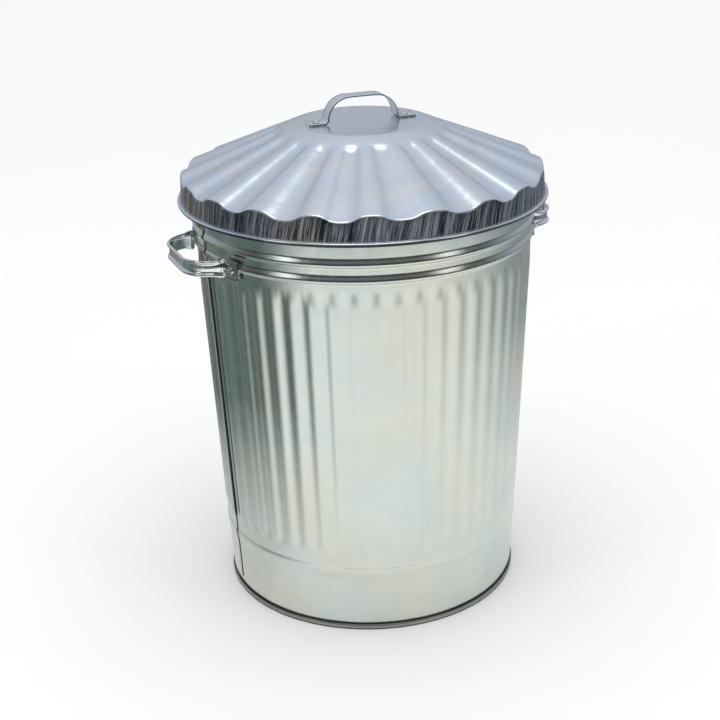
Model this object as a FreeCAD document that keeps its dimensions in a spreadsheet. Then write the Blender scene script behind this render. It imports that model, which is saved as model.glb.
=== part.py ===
import FreeCAD, Part
import Sketcher
import math
import os

# Galvanized sheet-steel bin with a loose fluted lid.
# Frame: millimetres, +Z up, origin at the middle of the ring on which the bin stands.
# The two side handles lie along X, and the lock seam runs up the wall behind the -X handle.

doc = FreeCAD.newDocument("galvanized_bin")
Vector = FreeCAD.Vector
UP = Vector(0, 0, 1)
ORIGIN = Vector(0, 0, 0)
TINY = 1e-6
# a rolled edge has a hexagonal section, and half its corner angle is this
HALF_HEXAGON = math.radians(30)


# ---------------------------------------------------------------------------
# Driving dimensions
# ---------------------------------------------------------------------------

SIZES = {
    # tapered wall of the bin
    "body_height": (578.5, "floor to the top of the rolled mouth"),
    "floor_radius": (201.3, "outside of the wall at the floor"),
    "mouth_radius": (226.8, "outside of the wall at the mouth"),
    "body_sheet": (1.0, "thickness of the wall"),
    "wall_start": (1.0, "lower edge of the wall, above the floor"),
    # pressed flutes of the wall
    "flute_count": (52, "flutes round the wall"),
    "flute_foot": (10.0, "from the swage's upper edge up to where the flutes start"),
    "flute_gap": (15.5, "from the lower bead's middle down to where the flutes end"),
    "flute_runout": (14.0, "height over which a flute fades into the wall"),
    "flute_depth": (4.0, "crest to valley"),
    "flute_flat": (0.26, "share of a flute's pitch that its crest takes"),
    # lock seam of the wall
    "seam_turn": (1.6, "degrees from the handle's middle to the seam"),
    "seam_width": (5.0, "width of the folded seam"),
    "seam_proud": (0.9, "how far the seam stands off the crest it follows"),
    "seam_gap": (1.0, "from the seam's ends to the foot ring and to the rolled mouth"),
    # beads rolled into the wall
    "bead_drop": (74.0, "from the top of the rolled mouth down to the middle of the lower bead"),
    "bead_pitch": (20.5, "from one upper bead to the next"),
    "bead_width": (8.4, "height of an upper bead"),
    "bead_flat": (3.2, "height of an upper bead's crest"),
    "bead_proud": (3.0, "how far an upper bead stands off the wall"),
    "swage_height": (90.0, "middle of the shallow swage near the floor"),
    "swage_width": (24.0, "height of the swage"),
    "swage_proud": (1.2, "how far the swage stands off the wall"),
    # rolled mouth
    "mouth_curl": (4.0, "radius of the rolled mouth"),
    # foot ring and bottom
    "foot_height": (7.5, "height of the foot ring"),
    "foot_sheet": (1.7, "thickness of the foot ring"),
    "nest_fit": (0.3, "clearance between nested sheets"),
    "pan_rise": (17.0, "top of the bottom pan at its edge"),
    "pan_sheet": (1.0, "thickness of the bottom pan"),
    # side handles
    "grip_drop": (8.0, "from the lower bead's middle down to a side handle's middle"),
    "grip_half": (65.0, "half the width of a side handle's bow"),
    "grip_reach": (34.4, "how far the bow stands off the pads"),
    "grip_corner": (39.0, "corner radius of the bow"),
    "grip_root": (4.5, "radius of the bend from pad to bow"),
    "grip_strap": (26.0, "width of the strap at the pads"),
    "grip_sheet": (2.0, "thickness of the strap"),
    "grip_arm": (21.0, "width of the bow over its rolled edges"),
    "grip_roll": (2.3, "half the thickness of the bow's rolled edges"),
    "pad_length": (25.0, "length of a pad along the wall"),
    "pad_tip": (1.0, "straight stretch at the tip of a pad"),
    "pad_fit": (0.2, "clearance between a pad and the bead under it"),
    "bend_tolerance": (0.2, "how far a bend's flats may lie inside its curve"),
    # rivets
    "rivet_sides": (10, "flats round a rivet"),
    "rivet_head": (5.2, "radius of a rivet's head"),
    "rivet_rise": (2.4, "height of a rivet's head"),
    "rivet_shank": (2.5, "radius of a rivet's shank"),
    "rivet_tail": (4.4, "radius of a rivet's closed end"),
    "tail_rise": (1.6, "height of a rivet's closed end"),
    "rivet_fit": (0.1, "clearance round a shank and under a head"),
    # lid
    "lid_turn": (-4.0, "degrees from the side handles to the lid's handle"),
    "lid_reach": (13.3, "from the wall at the mouth out to the lid's skirt"),
    "lid_sheet": (1.0, "thickness of the lid"),
    "skirt_height": (36.5, "lid's lower edge to the corner of its shoulder"),
    "lid_height": (97.5, "lid's lower edge to the top of the crown"),
    "crown_radius": (88.0, "radius of the flat crown"),
    "lid_curl": (2.7, "radius of the lid's rolled edge"),
    "lid_seat": (0.3, "clearance from the lid's valleys down to the mouth"),
    # pressed flutes of the lid
    "lid_flutes": (20, "flutes round the lid"),
    "lid_flute_turn": (-1.5, "degrees from the side handles to a crest"),
    "lid_flute_start": (103.0, "radius where a valley starts"),
    "lid_flute_full": (116.0, "radius where a valley's sloping start ends"),
    "lid_flute_flat": (0.24, "share of a flute's pitch that its crest takes"),
    "lid_flute_deep": (8.5, "depth of a valley at the skirt"),
    "shoulder_width": (3.8, "width of the rounded shoulder"),
    "shoulder_drop": (3.4, "height of the rounded shoulder"),
    # lid handle
    "knob_half": (47.0, "half the width of the lid handle's bow"),
    "knob_rise": (34.0, "height of the lid handle over the crown"),
    "knob_corner": (29.0, "corner radius of the lid handle"),
    "knob_root": (6.0, "bend from foot to bow"),
    "knob_foot": (26.0, "length of a foot"),
    "knob_rivet": (14.0, "from the bow to the rivet in a foot"),
    "knob_width": (26.0, "width of the lid handle's strap"),
    "knob_sheet": (2.2, "thickness of the lid handle's strap"),
}

sheet = doc.addObject("Spreadsheet::Sheet", "sizes")
for row, (alias, (number, meaning)) in enumerate(SIZES.items(), start=1):
    sheet.set(f"A{row}", alias)
    sheet.set(f"B{row}", str(number))
    sheet.set(f"C{row}", meaning)
    sheet.setAlias(f"B{row}", alias)
doc.recompute()


class Size:
    """A number that remembers the sheet formula it was worked out with."""

    def __init__(self, number, formula):
        self.number = number
        self.formula = formula

    def __add__(self, other):
        other = as_size(other)
        return Size(self.number + other.number, f"({self.formula} + {other.formula})")

    def __sub__(self, other):
        other = as_size(other)
        return Size(self.number - other.number, f"({self.formula} - {other.formula})")

    def __mul__(self, other):
        other = as_size(other)
        return Size(self.number * other.number, f"({self.formula} * {other.formula})")

    def __truediv__(self, other):
        other = as_size(other)
        return Size(self.number / other.number, f"({self.formula} / {other.formula})")


def as_size(value):
    """Take a plain number as a Size."""
    return value if isinstance(value, Size) else Size(float(value), str(float(value)))


def cell(alias):
    """The Size of one cell of the sheet."""
    return Size(float(sheet.get(alias)), f"sizes.{alias}")


body_height = cell("body_height")
floor_radius = cell("floor_radius")
mouth_radius = cell("mouth_radius")
body_sheet = cell("body_sheet")
wall_start = cell("wall_start")
flute_count = int(cell("flute_count").number)
mouth_curl = cell("mouth_curl")
bead_height = body_height - cell("bead_drop")
flute_low = (cell("swage_height") + cell("swage_width") / 2 + cell("flute_foot")).number
flute_high = (bead_height - cell("flute_gap")).number
nest_fit = cell("nest_fit")
rivet_fit = cell("rivet_fit")
lid_radius = mouth_radius + cell("lid_reach")
lid_sheet = cell("lid_sheet")
lid_curl = cell("lid_curl")
lid_flutes = int(cell("lid_flutes").number)


# ---------------------------------------------------------------------------
# Helpers
# ---------------------------------------------------------------------------

def wall_radius(height):
    """Outside radius of the plain tapered wall at a height."""
    return floor_radius + (mouth_radius - floor_radius) * height / body_height


def polar(radius, degrees, height=0.0):
    """Point at a radius and an angle from +X."""
    angle = math.radians(degrees)
    return Vector(radius * math.cos(angle), radius * math.sin(angle), height)


def add_part(label, shape, turn=0.0, lift=0.0):
    """Put a shape into the document as a sub-part, turned round Z and lifted."""
    part = doc.addObject("Part::Feature", label)
    part.Label = label
    part.Shape = shape
    part.Placement = FreeCAD.Placement(UP * lift, FreeCAD.Rotation(UP, turn))


def origin_plane(body, role):
    """Origin plane or axis of a body, by its role."""
    return [item for item in body.Origin.OriginFeatures if item.Role == role][0]


def add_sketch(body, role):
    """Empty sketch on an origin plane of a body."""
    sketch = body.newObject("Sketcher::SketchObject", body.Label + "_sketch")
    sketch.AttachmentSupport = (origin_plane(body, role), [""])
    sketch.MapMode = "FlatFace"
    return sketch


def place_corner(sketch, line, radius, height):
    """Tie the start of a line to a radius and a height from the sheet."""
    for name, size in (("DistanceX", radius), ("DistanceY", height)):
        if size is None:
            axis = -2 if name == "DistanceX" else -1
            sketch.addConstraint(Sketcher.Constraint("PointOnObject", line, 1, axis))
        else:
            index = sketch.addConstraint(Sketcher.Constraint(name, -1, 1, line, 1, size.number))
            sketch.setExpression(f"Constraints[{index}]", size.formula)


def revolved_body(label, corners):
    """Turn an outline round Z. A corner is (radius, height); None lies on the axis or on the floor."""
    body = doc.addObject("PartDesign::Body", label)
    body.Label = label
    sketch = add_sketch(body, "XZ_Plane")
    points = [Vector(r.number if r else 0, z.number if z else 0, 0) for r, z in corners]
    for start, end in zip(points, points[1:] + points[:1]):
        sketch.addGeometry(Part.LineSegment(start, end), False)
    for line in range(len(points)):
        following = (line + 1) % len(points)
        sketch.addConstraint(Sketcher.Constraint("Coincident", line, 2, following, 1))
    for line, (radius, height) in enumerate(corners):
        place_corner(sketch, line, radius, height)
    turn = body.newObject("PartDesign::Revolution", label + "_turn")
    turn.Profile = sketch
    turn.ReferenceAxis = (sketch, ["V_Axis"])
    turn.Angle = 360.0
    sketch.Visibility = False
    doc.recompute()
    return body


def faceted_solid(outline, sides):
    """Solid of flat sides round Z through (radius, height) corners, where equal heights are a step."""
    stacks = [[]]
    height_before = None
    for radius, height in outline:
        if height == height_before:
            stacks.append([])
        corners = [polar(radius, 360.0 * index / sides, height) for index in range(sides)]
        stacks[-1].append(Part.makePolygon(corners + corners[:1]))
        height_before = height
    solids = [Part.makeLoft(wires, True, True) for wires in stacks]
    return solids[0].fuse(solids[1:]) if len(solids) > 1 else solids[0]


def row_faces(first, second):
    """Flat faces between two closed rows of as many corners. Neighbouring corners of a row may coincide."""
    faces = []
    for index in range(len(first)):
        following = (index + 1) % len(first)
        ring = [first[index], first[following], second[following], second[index]]
        ring = [point for point, after in zip(ring, ring[1:] + ring[:1]) if point.distanceToPoint(after) > TINY]
        if len(ring) < 3:
            continue
        skew = (ring[1] - ring[0]).cross(ring[2] - ring[0]).dot(ring[-1] - ring[0])
        pieces = [ring]
        if len(ring) == 4 and abs(skew) > TINY:
            # a twisted face is folded along the diagonal that stands further out
            reach = [math.hypot(point.x, point.y) for point in ring]
            turn = 0 if reach[0] + reach[2] > reach[1] + reach[3] else 1
            ring = ring[turn:] + ring[:turn]
            pieces = [ring[:3], ring[2:] + ring[:1]]
        faces += [Part.Face(Part.makePolygon(piece + piece[:1])) for piece in pieces]
    return faces


def solid_of_rows(rows, closed):
    """Solid bounded by closed rows of corners: a ring where the rows close, else capped at both ends."""
    faces = []
    for first, second in zip(rows, rows[1:]):
        faces += row_faces(first, second)
    if closed:
        faces += row_faces(rows[-1], rows[0])
    else:
        faces += [Part.Face(Part.makePolygon(row + row[:1])) for row in (rows[0], rows[-1])]
    solid = Part.Solid(Part.Shell(faces))
    if solid.Volume < 0:
        solid.reverse()
    return solid


def offset_corner(before, corner, after, distance):
    """Mitred corner of a path moved to its left by a distance."""
    first = (corner - before).normalize()
    second = (after - corner).normalize()
    normal_a = Vector(-first.y, first.x, 0)
    normal_b = Vector(-second.y, second.x, 0)
    middle = (normal_a + normal_b).normalize()
    return corner + middle * (distance / middle.dot(normal_a))


def bend_chords(first, centre, last):
    """Chords of an arc, as few as stay within the bend tolerance."""
    spoke = first - centre
    sweep = spoke.getAngle(last - centre)
    widest = 2 * math.acos(1 - cell("bend_tolerance").number / spoke.Length)
    count = math.ceil(sweep / widest)
    side = math.copysign(1, spoke.cross(last - centre).z)
    turns = [FreeCAD.Rotation(UP * side, math.degrees(sweep * index / count)) for index in range(count)]
    points = [centre + turn.multVec(spoke) for turn in turns] + [last]
    return [Part.makeLine(a, b) for a, b in zip(points, points[1:])]


def rounded_edges(points, radii):
    """Edges through points, with a bend of the given radius at each inner point."""
    edges = []
    start = points[0]
    for before, corner, after, radius in zip(points, points[1:], points[2:], radii):
        back = (before - corner).normalize()
        ahead = (after - corner).normalize()
        half = back.getAngle(ahead) / 2
        reach = radius / math.tan(half)
        first = corner + back * reach
        last = corner + ahead * reach
        bisector = (back + ahead).normalize()
        centre = corner + bisector * (radius / math.sin(half))
        edges.append(Part.makeLine(start, first))
        edges += bend_chords(first, centre, last)
        start = last
    edges.append(Part.makeLine(start, points[-1]))
    return edges


def strap_edges(points, radii, thickness):
    """Closed outline of a strap bent along a path, half its thickness to each side."""
    sides = []
    for side in (thickness / 2, -thickness / 2):
        moved = []
        bends = []
        for index, point in enumerate(points):
            before = points[max(index - 1, 0)]
            after = points[min(index + 1, len(points) - 1)]
            if index in (0, len(points) - 1):
                along = (after - before).normalize()
                moved.append(point + Vector(-along.y, along.x, 0) * side)
            else:
                moved.append(offset_corner(before, point, after, side))
                left = (point - before).cross(after - point).z > 0
                bends.append(radii[index - 1] + (-side if left else side))
        sides.append((moved, bends))
    left_side, right_side = sides
    edges = rounded_edges(*left_side) + rounded_edges(*right_side)
    edges.append(Part.makeLine(left_side[0][0], right_side[0][0]))
    edges.append(Part.makeLine(left_side[0][-1], right_side[0][-1]))
    return edges


# ---------------------------------------------------------------------------
# Body shell: tapered wall with flutes, beads, rolled mouth and lock seam
# ---------------------------------------------------------------------------

def wall_row(radius, height, swing=0.0):
    """Row of corners round the wall, four for each flute: two at its crest and two at its valley."""
    pitch = 360.0 / flute_count
    half_flat = cell("flute_flat").number / 2 if swing else 0.0
    seam = 180.0 + cell("seam_turn").number
    corners = []
    for index in range(flute_count):
        for share, side in ((-half_flat, 1), (half_flat, 1), (0.5 - half_flat, -1), (0.5 + half_flat, -1)):
            corners.append(polar(radius * (1 + side * swing), seam + (index + share) * pitch, height))
    return corners


def bead_outline(middle, width, flat, proud):
    """(height, distance off the wall) corners of a rolled bead."""
    return [(middle - width / 2, 0), (middle - flat / 2, proud), (middle + flat / 2, proud), (middle + width / 2, 0)]


def fluted_rows(inset):
    """Rows of the fluted stretch of the wall, less inset. Flutes fade to a point at each end."""
    runout = cell("flute_runout").number
    swing = cell("flute_depth").number / 2 / wall_radius((flute_low + flute_high) / 2).number
    stations = ((flute_low, 0.0), (flute_low + runout, swing), (flute_high - runout, swing), (flute_high, 0.0))
    return [wall_row(wall_radius(height).number - inset, height, share) for height, share in stations]


def plain_rows(outline, inset=0.0):
    """Rows of the wall without flutes, through (height, distance off the wall) corners."""
    return [wall_row(wall_radius(height).number + out - inset, height) for height, out in outline]


def seam_strip():
    """Folded seam that follows the crest of a flute and steps over the beads."""
    proud = cell("seam_proud").number
    runout = cell("flute_runout").number
    crest = cell("flute_depth").number / 2
    bead = cell("bead_proud").number
    half_bead = cell("bead_width").number / 2
    first_bead = bead_height.number
    second_bead = first_bead + cell("bead_pitch").number
    foot = (cell("foot_height") + cell("seam_gap")).number
    top = (body_height - mouth_curl * 2 - cell("seam_gap")).number
    rises = [(foot, 0), (flute_low, 0), (flute_low + runout, crest), (flute_high - runout, crest), (flute_high, 0)]
    for middle in (first_bead, second_bead):
        rises += [(middle - half_bead, 0), (middle, bead), (middle + half_bead, 0)]
    rises.append((top, 0))
    outer = [Vector(wall_radius(z).number + rise + proud, 0, z) for z, rise in rises]
    inner = [Vector(wall_radius(z).number - body_sheet.number / 2, 0, z) for z in (top, foot)]
    width = cell("seam_width").number
    face = Part.Face(Part.makePolygon(outer + inner + outer[:1]))
    strip = face.extrude(Vector(0, width, 0))
    strip.translate(Vector(0, -width / 2, 0))
    strip.rotate(ORIGIN, UP, 180.0 + cell("seam_turn").number)
    return strip


def curl_corners(ring, height, roll):
    """(radius, height) corners of a rolled edge's section, from its lower inner one outwards and up."""
    corner = roll / math.cos(HALF_HEXAGON)
    turns = [math.radians(turn) for turn in (270, 330, 30, 90)]
    return [(ring + corner * math.cos(turn), height + corner * math.sin(turn)) for turn in turns]


mouth_height = (body_height - mouth_curl).number
mouth_ring = (wall_radius(body_height - mouth_curl) - body_sheet / 2 + mouth_curl).number
lid_ring = (lid_radius - lid_sheet / 2 + lid_curl).number


def body_shell_shape():
    """Sheet wall with its rolled mouth and seam, as rows up its outside, round the mouth and down its inside."""
    sheet_number = body_sheet.number
    swage_width = cell("swage_width").number
    swage = bead_outline(cell("swage_height").number, swage_width, swage_width / 3, cell("swage_proud").number)
    beads = []
    for step in range(2):
        middle = (bead_height + cell("bead_pitch") * step).number
        beads += bead_outline(
            middle, cell("bead_width").number, cell("bead_flat").number, cell("bead_proud").number)
    half_curl = mouth_curl.number * math.tan(HALF_HEXAGON)
    neck_top = mouth_height - half_curl - sheet_number / 2 * math.tan(HALF_HEXAGON)
    foot = [(wall_start.number, 0)]
    rows = plain_rows(foot + swage) + fluted_rows(0.0) + plain_rows(beads + [(neck_top, 0)])
    rows += [wall_row(*corner) for corner in curl_corners(mouth_ring, mouth_height, mouth_curl.number)]
    rows += plain_rows([(mouth_height + half_curl, 0)], sheet_number)
    rows += fluted_rows(sheet_number)[::-1] + plain_rows(foot, sheet_number)
    wall = solid_of_rows(rows, True).fuse(seam_strip())
    for axis in grip_rivet_axes():
        wall = wall.cut(rivet_hole(axis))
    return wall


# ---------------------------------------------------------------------------
# Side handles and their rivets
# ---------------------------------------------------------------------------

grip_height = (bead_height - cell("grip_drop")).number
grip_sheet = cell("grip_sheet").number
rivet_sides = int(cell("rivet_sides").number)
pad_inside = (wall_radius(bead_height) + cell("bead_proud") + cell("pad_fit")).number
pad_middle = pad_inside + grip_sheet / 2
bow_turn = math.degrees(math.asin(cell("grip_half").number / pad_middle))
pad_turn = bow_turn + math.degrees(cell("grip_root").number / pad_middle)
pad_sweep = math.degrees(cell("pad_length").number / pad_middle)
rivet_turn = pad_turn + 0.5 * pad_sweep


def grip_rivet_axes():
    """Rivet axes of both side handles, as angles from +X."""
    return [middle + side * rivet_turn for middle in (0, 180) for side in (1, -1)]


def shank_hole():
    """Clearance hole along Z for a rivet's shank, long enough to both sides for every riveted stack."""
    radius = (cell("rivet_shank") + rivet_fit).number
    reach = 2 * (cell("bead_proud") + cell("grip_sheet") + body_sheet).number
    return faceted_solid([(radius, -reach), (radius, reach)], rivet_sides)


def rivet_hole(degrees):
    """Clearance hole through wall and pad for one rivet of a side handle."""
    hole = shank_hole()
    hole.rotate(ORIGIN, Vector(0, 1, 0), 90)
    hole.translate(Vector(wall_radius(grip_height).number, 0, grip_height))
    hole.rotate(ORIGIN, UP, degrees)
    return hole


def grip_path():
    """Corner points and bends of a side handle's plan, at the middle of its thickness."""
    half = cell("grip_half").number
    outer = pad_middle + cell("grip_reach").number
    pad_end = polar(pad_middle, pad_turn + pad_sweep)
    tip = pad_end + polar(cell("pad_tip").number, pad_turn + pad_sweep + 90)
    knee = polar(pad_middle / math.cos(math.radians(pad_sweep / 2)), pad_turn + pad_sweep / 2)
    pad_start = polar(pad_middle, pad_turn)
    to_bow = (pad_start.y - half) / math.cos(math.radians(pad_turn))
    base = pad_start + polar(to_bow, pad_turn - 90)
    side = [tip, knee, base, Vector(outer, half, 0)]
    bends = [pad_middle, cell("grip_root").number, cell("grip_corner").number]
    mirrored = [Vector(p.x, -p.y, 0) for p in reversed(side)]
    return side + mirrored, bends + bends[::-1]


def grip_shape():
    """Side handle on the +X side: a strap with rolled edges along its bow."""
    points, bends = grip_path()
    strap_width = cell("grip_strap").number
    arm_width = cell("grip_arm").number
    roll = cell("grip_roll").number
    plan = Part.Face(Part.Wire(Part.__sortEdges__(strap_edges(points, bends, grip_sheet))))
    strap = plan.extrude(Vector(0, 0, strap_width))
    strap.translate(Vector(0, 0, grip_height - strap_width / 2))
    # the bow is narrower than the pads, because its edges are rolled over
    bow_start = points[3].x - cell("grip_corner").number
    arm_edge = (strap_width - arm_width) / 2 + roll
    span = 2 * plan.BoundBox.YMax
    for level in (grip_height - strap_width / 2, grip_height + strap_width / 2 - arm_edge):
        strap = strap.cut(Part.makeBox(span, span, arm_edge, Vector(bow_start, -span / 2, level)))
    # the rolled edges stand out, and are flush with the strap inside
    out = roll - grip_sheet / 2
    half = points[3].y + out
    reach = points[3].x + out
    arm = [(bow_start - roll, half), (reach, half), (reach, -half), (bow_start - roll, -half)]
    corner = cell("grip_corner").number + out
    rim_edges = strap_edges([Vector(x, y, 0) for x, y in arm], [corner, corner], 2 * roll)
    rim = Part.Face(Part.Wire(Part.__sortEdges__(rim_edges))).extrude(UP * (2 * roll))
    rims = []
    for level in (grip_height - arm_width / 2, grip_height + arm_width / 2 - 2 * roll):
        rims.append(rim.translated(UP * level))
    handle = strap.fuse(rims)
    for side in (1, -1):
        handle = handle.cut(rivet_hole(side * rivet_turn))
    return handle


def rivet_shape(seat, low):
    """Rivet along Z: domed head on the height seat, shank, and closed end under the height low."""
    # the head is flat on top and widens to its seat
    head = cell("rivet_head").number
    rise = cell("rivet_rise").number
    shank = cell("rivet_shank").number
    tail = cell("rivet_tail").number
    seat += rivet_fit.number
    low -= rivet_fit.number
    end = low - cell("tail_rise").number
    outline = [(0.8 * tail, end), (tail, low), (shank, low), (shank, seat), (head, seat)]
    outline += [(0.9 * head, seat + 0.6 * rise), (0.5 * head, seat + rise)]
    return faceted_solid(outline, rivet_sides)


def radial_rivet(degrees):
    """Rivet of a side handle, with its head outside."""
    wall_inside = wall_radius(grip_height).number - body_sheet.number
    # the wall leans inwards and is flat between corners, so the closed end keeps clear of both
    tail = cell("rivet_tail").number
    lean = tail * (mouth_radius - floor_radius).number / body_height.number
    flat = wall_inside * (1 - math.cos(math.pi / (2 * flute_count))) + tail ** 2 / (2 * wall_inside)
    rivet = rivet_shape(pad_inside + grip_sheet - wall_inside, -lean - flat)
    rivet.rotate(ORIGIN, Vector(0, 1, 0), 90)
    rivet.translate(Vector(wall_inside, 0, grip_height))
    rivet.rotate(ORIGIN, UP, degrees)
    return rivet


# ---------------------------------------------------------------------------
# Lid: flat crown, fluted cone, skirt with a rolled edge
# ---------------------------------------------------------------------------

crown_radius = cell("crown_radius").number
lid_height = cell("lid_height").number
skirt_height = cell("skirt_height").number
cone_fall = (lid_height - skirt_height) / (lid_radius.number - crown_radius)
cone_angle = math.atan(cone_fall)


def cone_height(radius):
    """Height of the lid's plain cone over its lower edge."""
    return lid_height - cone_fall * (radius - crown_radius)


def valley_height(radius):
    """Height of a valley's floor over the lid's lower edge. Its depth grows in step with the radius."""
    return cone_height(radius) - cell("lid_flute_deep").number * radius / lid_radius.number


def lid_lower_edge():
    """Height of the lid's lower edge when its valleys rest on the rolled mouth."""
    fall = valley_height(mouth_ring) - valley_height(mouth_ring + 1)
    slant = math.sqrt(1 + fall * fall)
    mouth = body_height.number - mouth_curl.number
    rest = (mouth_curl.number / math.cos(HALF_HEXAGON) + cell("lid_seat").number) * slant
    return mouth + rest - valley_height(mouth_ring) + lid_sheet.number * slant


def lid_row(radius, height, dip=0.0):
    """Row of corners round the lid, four for each flute: two at its crest and two, lower by dip, at its valley."""
    pitch = 360.0 / lid_flutes
    half_flat = cell("lid_flute_flat").number / 2
    corners = []
    for index in range(lid_flutes):
        for share, fall in ((-half_flat, 0), (half_flat, 0), (0.5 - half_flat, dip), (0.5 + half_flat, dip)):
            turn = cell("lid_flute_turn").number + (index + share) * pitch
            corners.append(polar(radius, turn, height - fall))
    return corners


def lid_rows(inset):
    """Rows of the lid from its crown down to its skirt, less inset square to the sheet."""
    lean = inset * math.tan(cone_angle / 2)
    drop = inset / math.cos(cone_angle)
    rim = lid_radius.number - inset
    shoulder = lid_radius.number - cell("shoulder_width").number - lean
    start = cell("lid_flute_start").number
    full = cell("lid_flute_full").number
    rows = [lid_row(crown_radius - lean, lid_height - inset), lid_row(start, cone_height(start) - drop)]
    for radius in (full, shoulder):
        rows.append(lid_row(radius, cone_height(radius) - drop, cone_height(radius) - valley_height(radius)))
    skirt_top = cone_height(shoulder) - drop - cell("shoulder_drop").number
    rows.append(lid_row(rim, skirt_top, cone_height(shoulder) - valley_height(shoulder)))
    return rows


def lid_shell_shape():
    """Pressed lid sheet with its rolled edge, as rows down its outside, round the edge and up its inside."""
    sheet_number = lid_sheet.number
    half_curl = lid_curl.number * math.tan(HALF_HEXAGON)
    skirt_bottom = lid_curl.number + half_curl + sheet_number / 2 * math.tan(HALF_HEXAGON)
    curl = curl_corners(lid_ring, lid_curl.number, lid_curl.number)[::-1]
    rows = lid_rows(0.0) + [lid_row(lid_radius.number, skirt_bottom)]
    rows += [lid_row(*corner) for corner in curl]
    rows += [lid_row(lid_radius.number - sheet_number, lid_curl.number - half_curl)]
    rows += lid_rows(sheet_number)[::-1]
    shell = solid_of_rows(rows, False)
    for place in lid_rivet_places():
        shell = shell.cut(shank_hole().translated(place))
    return shell


# ---------------------------------------------------------------------------
# Lid handle and its rivets
# ---------------------------------------------------------------------------

knob_sheet = cell("knob_sheet").number


def lid_rivet_places():
    """Points on top of the crown where the lid handle is riveted."""
    reach = (cell("knob_half") + cell("knob_rivet")).number
    turn = cell("lid_turn").number
    return [polar(reach, turn + half_turn, lid_height) for half_turn in (0, 180)]


def knob_shape():
    """Lid handle: a bent strap with two feet flat on the crown."""
    half = cell("knob_half").number
    foot = cell("knob_foot").number
    root = cell("knob_root").number
    corner = cell("knob_corner").number
    width = cell("knob_width").number
    low = lid_height + knob_sheet / 2
    high = lid_height + cell("knob_rise").number - knob_sheet / 2
    side = [Vector(half + foot, low, 0), Vector(half, low, 0), Vector(half, high, 0)]
    points = side + [Vector(-p.x, p.y, 0) for p in reversed(side)]
    edges = strap_edges(points, [root, corner, corner, root], knob_sheet)
    profile = Part.Face(Part.Wire(Part.__sortEdges__(edges)))
    strap = profile.extrude(Vector(0, 0, width))
    strap.translate(Vector(0, 0, -width / 2))
    strap.rotate(ORIGIN, Vector(1, 0, 0), 90)
    strap.rotate(ORIGIN, UP, cell("lid_turn").number)
    for place in lid_rivet_places():
        strap = strap.cut(shank_hole().translated(place))
    return strap


def crown_rivet(place):
    """Rivet of the lid handle, with its head on the foot of the strap."""
    rivet = rivet_shape(knob_sheet, -lid_sheet.number)
    rivet.translate(place)
    return rivet


# ---------------------------------------------------------------------------
# The bin
# ---------------------------------------------------------------------------

add_part("body_shell", body_shell_shape())

foot_height = cell("foot_height")
foot_sheet = cell("foot_sheet")
pan_sheet = cell("pan_sheet")
pan_rise = cell("pan_rise")
# the foot ring follows the wall's taper
foot_low = floor_radius + nest_fit
foot_high = wall_radius(foot_height) + nest_fit
base_hoop = revolved_body("base_hoop", [
    (foot_low, None),
    (foot_low + foot_sheet, None),
    (foot_high + foot_sheet, foot_height),
    (foot_high, foot_height),
])

flange_outside = wall_radius(wall_start) - body_sheet - nest_fit
bottom_pan = revolved_body("bottom_pan", [
    (None, pan_rise - pan_sheet),
    (flange_outside - pan_sheet, pan_rise - pan_sheet),
    (flange_outside - pan_sheet, wall_start),
    (flange_outside, wall_start),
    (flange_outside, pan_rise),
    (None, pan_rise),
])

side_grip = grip_shape()
for side, half_turn in (("right", 0), ("left", 180)):
    add_part(f"{side}_side_handle", side_grip, turn=half_turn)
side_rivets = Part.makeCompound([radial_rivet(degrees) for degrees in grip_rivet_axes()])
add_part("side_handle_rivets", side_rivets)

lid_base = lid_lower_edge()
lid_pieces = {
    "lid_shell": lid_shell_shape(),
    "lid_handle": knob_shape(),
    "lid_handle_rivets": Part.makeCompound([crown_rivet(place) for place in lid_rivet_places()]),
}
for label, shape in lid_pieces.items():
    add_part(label, shape, lift=lid_base)

doc.recompute()


# ---------------------------------------------------------------------------
# Checks and export
# ---------------------------------------------------------------------------

NODES = [
    "body_shell", "base_hoop", "bottom_pan",
    "left_side_handle", "right_side_handle", "side_handle_rivets",
    "lid_shell", "lid_handle", "lid_handle_rivets",
]

for item in doc.Objects:
    bad = {"Invalid", "Error"} & set(item.State)
    if bad:
        raise RuntimeError(f"{item.Label} is {', '.join(bad)}")

os.makedirs("parts", exist_ok=True)
for node in NODES:
    part = doc.getObjectsByLabel(node)[0]
    shape = part.Shape
    if shape.isNull() or not shape.isValid():
        raise RuntimeError(f"{node} has no valid shape")
    shape.exportStep(f"parts/{node}.step")
    box = shape.BoundBox
    print(f"{node}: {len(shape.Solids)} solid(s), volume {shape.Volume / 1000:.1f} cm3, "
          f"z {box.ZMin:.1f} to {box.ZMax:.1f}")
print(f"lid's lower edge at {lid_base:.2f}")
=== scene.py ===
import math

import bpy
import numpy as np
from mathutils import Matrix, Vector


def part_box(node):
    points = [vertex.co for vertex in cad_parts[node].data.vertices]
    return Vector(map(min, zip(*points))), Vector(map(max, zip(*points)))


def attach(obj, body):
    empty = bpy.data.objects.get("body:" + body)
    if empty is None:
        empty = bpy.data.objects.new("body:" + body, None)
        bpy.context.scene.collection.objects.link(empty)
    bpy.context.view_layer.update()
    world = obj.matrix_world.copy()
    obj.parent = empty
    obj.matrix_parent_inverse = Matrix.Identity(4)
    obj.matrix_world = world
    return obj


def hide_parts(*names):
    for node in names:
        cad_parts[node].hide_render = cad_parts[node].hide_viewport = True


# Galvanized bin with a fluted lid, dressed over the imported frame. Metres, +Z up.
# Azimuths of the stage are counted from the camera's side, positive to the picture's right.

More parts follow.
